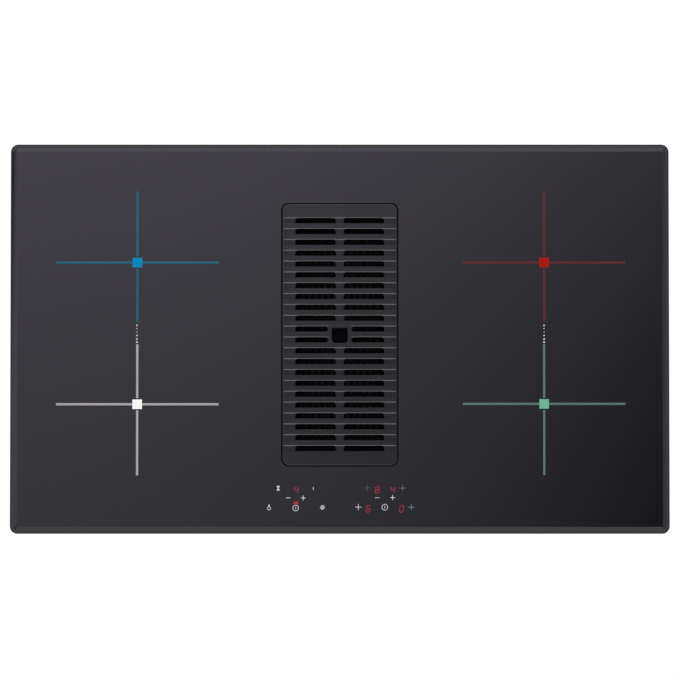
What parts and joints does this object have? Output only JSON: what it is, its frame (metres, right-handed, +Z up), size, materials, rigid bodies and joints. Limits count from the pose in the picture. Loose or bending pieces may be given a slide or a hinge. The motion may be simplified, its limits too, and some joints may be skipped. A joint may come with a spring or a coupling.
{
  "type": "downdraft induction cooktop",
  "caption": "Induction cooktop in black glass with a cast extraction grille in its centre, a blower and a duct outlet below, and a lift-out filter and drip tray.",
  "frame": {"origin": "centre of the glass in plan, at the underside of the lower casing", "axes": "+X to the right of the cook, +Y to the rear, +Z up out of the glass"},
  "size_m": [0.88, 0.52, 0.211],
  "materials": {
    "black_glass": "opaque black glass ceramic, polished",
    "foam": "closed-cell sealing tape",
    "cast_grille": "black satin enamel on cast iron",
    "rubber": "black silicone",
    "black_plastic": "black moulded polypropylene",
    "grey_plastic": "grey moulded plastic",
    "filter_black": "black lacquer on folded and expanded steel",
    "stainless": "brushed stainless steel",
    "galvanised": "galvanised sheet steel",
    "aluminium": "mill-finish aluminium",
    "zinc_screws": "zinc-plated steel",
    "shaft_steel": "ground steel",
    "litz_copper": "lacquered copper litz wire",
    "former_plastic": "heat-proof natural plastic",
    "ferrite": "sintered ferrite",
    "mica": "mica sheet",
    "circuit_board": "green solder mask",
    "component": "capacitors and relays",
    "display": "dark red display window"
  },
  "bodies": {
    "drip": {"drip_tray": "black_plastic"},
    "filter": {"filter_frame": "filter_black", "filter_mesh": "filter_black", "filter_handle": "filter_black"},
    "grille": {"grille": "cast_grille", "grille_pads": "rubber"},
    "wheel": {"impeller": "black_plastic", "motor_shaft": "shaft_steel"},
    "cooler_left": {"cooler_rotor_left": "black_plastic"},
    "cooler_right": {"cooler_rotor_right": "black_plastic"},
    "flap_upper": {"flap_upper": "grey_plastic"},
    "flap_lower": {"flap_lower": "grey_plastic"},
    "hob": {"glass_top": "black_glass", "glass_seal": "foam", "well_gasket": "rubber", "inlet_well": "black_plastic", "upper_tray": "galvanised", "casing_gasket": "foam", "lower_casing": "black_plastic", "duct_gasket": "foam", "duct_spigot": "black_plastic", "flap_pins": "shaft_steel", "scroll_housing": "grey_plastic", "scroll_cover": "grey_plastic", "fan_motor": "galvanised", "motor_bearings": "shaft_steel", "motor_mounts": "rubber", "screws": "zinc_screws", "winding_rear_left": "litz_copper", "winding_front_left": "litz_copper", "winding_rear_right": "litz_copper", "winding_front_right": "litz_copper", "coil_formers": "former_plastic", "ferrite_bars": "ferrite", "coil_sensors": "former_plastic", "mica_sheets": "mica", "coil_plate_left": "aluminium", "coil_plate_right": "aluminium", "coil_posts": "zinc_screws", "board_spacers": "former_plastic", "power_board_left": "circuit_board", "power_board_right": "circuit_board", "heat_sink_left": "aluminium", "heat_sink_right": "aluminium", "board_parts_left": "component", "board_parts_right": "component", "cooler_frame_left": "black_plastic", "cooler_frame_right": "black_plastic", "touch_board": "circuit_board", "touch_holder": "former_plastic", "display_modules": "display", "touch_contacts": "foam", "terminal_cover": "black_plastic", "terminal_block": "former_plastic", "cable_gland": "grey_plastic", "control_box": "black_plastic", "control_cover": "black_plastic", "control_board": "circuit_board", "worktop_clips": "stainless", "clip_screws": "zinc_screws"}
  },
  "joints": [
    {"name": "drip_lift", "type": "slide", "parent": "hob", "child": "drip", "axis": [0, 0, 1], "range_m": [0, 0.215]},
    {"name": "filter_lift", "type": "slide", "parent": "drip", "child": "filter", "axis": [0, 0, 1], "range_m": [0, 0.065]},
    {"name": "grille_lift", "type": "slide", "parent": "filter", "child": "grille", "axis": [0, 0, 1], "range_m": [0, 0.04]},
    {"name": "wheel_spin", "type": "hinge", "parent": "hob", "child": "wheel", "pos_m": [0.1794, -0.052, 0.09], "axis": [0, 0, 1], "continuous": true},
    {"name": "cooler_left_spin", "type": "hinge", "parent": "hob", "child": "cooler_left", "pos_m": [-0.166, 0, 0.16], "axis": [0, 0, 1], "continuous": true},
    {"name": "cooler_right_spin", "type": "hinge", "parent": "hob", "child": "cooler_right", "pos_m": [0.166, 0, 0.16], "axis": [0, 0, 1], "continuous": true},
    {"name": "flap_upper_swing", "type": "hinge", "parent": "hob", "child": "flap_upper", "pos_m": [0.2079, 0.214, 0.1339], "axis": [1, 0, 0], "range_deg": [0, 75]},
    {"name": "flap_lower_swing", "type": "hinge", "parent": "hob", "child": "flap_lower", "pos_m": [0.2079, 0.214, 0.09345], "axis": [1, 0, 0], "range_deg": [0, 75]}
  ]
}
